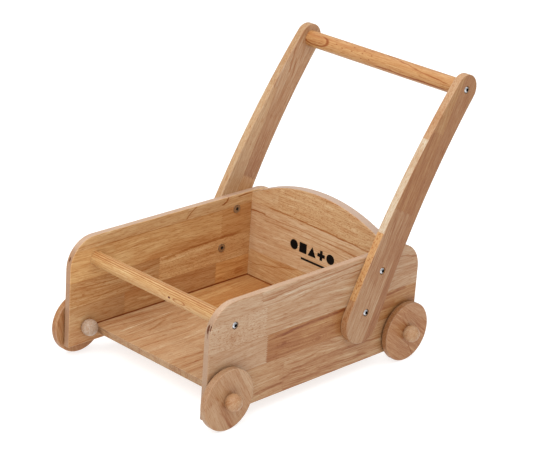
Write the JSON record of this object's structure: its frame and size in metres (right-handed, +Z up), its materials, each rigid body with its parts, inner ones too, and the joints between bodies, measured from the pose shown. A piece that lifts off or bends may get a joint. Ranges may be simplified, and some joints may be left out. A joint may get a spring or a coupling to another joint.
{
  "type": "push along truck",
  "caption": "Wooden push along truck: open box between side panels, arched back, front rail, curved arms with a handle bar, and wheels that turn on stub axles.",
  "frame": {"origin": "centre of the bottom of the object's box, on the ground under the wheels", "axes": "+Z up; the truck's front faces -Y and its left side is +X; the wheels turn about X"},
  "size_m": [0.3664, 0.514, 0.429],
  "materials": {
    "side_wood": "clear satin lacquer",
    "back_wood": "clear satin lacquer",
    "floor_wood": "clear satin lacquer",
    "arm_wood": "clear satin lacquer",
    "rail_wood": "clear satin lacquer",
    "handle_wood": "clear satin lacquer",
    "wheel_wood": "clear satin lacquer",
    "knob_wood": "clear satin lacquer",
    "dowel_wood": "clear satin lacquer",
    "bolt_steel": "bright zinc plate",
    "nut_steel": "dark nickel plate",
    "insert_brass": "plain"
  },
  "bodies": {
    "chassis": {"side_panel_left": "side_wood", "side_panel_right": "side_wood", "back_panel": "back_wood", "floor_panel": "floor_wood", "front_rail": "rail_wood", "handle_arm_left": "arm_wood", "handle_arm_right": "arm_wood", "handle_bar": "handle_wood", "rail_bolts": "bolt_steel", "handle_bar_bolts": "bolt_steel", "arm_bolts_left": "bolt_steel", "arm_bolts_right": "bolt_steel", "sleeve_nuts_left": "nut_steel", "sleeve_nuts_right": "nut_steel", "rail_inserts": "insert_brass", "handle_bar_inserts": "insert_brass", "floor_side_dowels": "dowel_wood", "back_panel_dowels": "dowel_wood", "floor_back_dowels": "dowel_wood"},
    "wheel_set_front_left": {"wheel_front_left": "wheel_wood", "axle_dowel_front_left": "dowel_wood", "outer_knob_front_left": "knob_wood", "inner_knob_front_left": "knob_wood"},
    "wheel_set_front_right": {"wheel_front_right": "wheel_wood", "axle_dowel_front_right": "dowel_wood", "outer_knob_front_right": "knob_wood", "inner_knob_front_right": "knob_wood"},
    "wheel_set_rear_left": {"wheel_rear_left": "wheel_wood", "axle_dowel_rear_left": "dowel_wood", "outer_knob_rear_left": "knob_wood", "inner_knob_rear_left": "knob_wood"},
    "wheel_set_rear_right": {"wheel_rear_right": "wheel_wood", "axle_dowel_rear_right": "dowel_wood", "outer_knob_rear_right": "knob_wood", "inner_knob_rear_right": "knob_wood"}
  },
  "joints": [
    {"name": "wheel_front_left_spin", "type": "hinge", "parent": "chassis", "child": "wheel_set_front_left", "pos_m": [0.1575, -0.2115, 0.0455], "axis": [1, 0, 0], "continuous": true},
    {"name": "wheel_front_right_spin", "type": "hinge", "parent": "chassis", "child": "wheel_set_front_right", "pos_m": [-0.1575, -0.2115, 0.0455], "axis": [1, 0, 0], "continuous": true},
    {"name": "wheel_rear_left_spin", "type": "hinge", "parent": "chassis", "child": "wheel_set_rear_left", "pos_m": [0.1575, 0.1535, 0.0455], "axis": [1, 0, 0], "continuous": true},
    {"name": "wheel_rear_right_spin", "type": "hinge", "parent": "chassis", "child": "wheel_set_rear_right", "pos_m": [-0.1575, 0.1535, 0.0455], "axis": [1, 0, 0], "continuous": true}
  ]
}
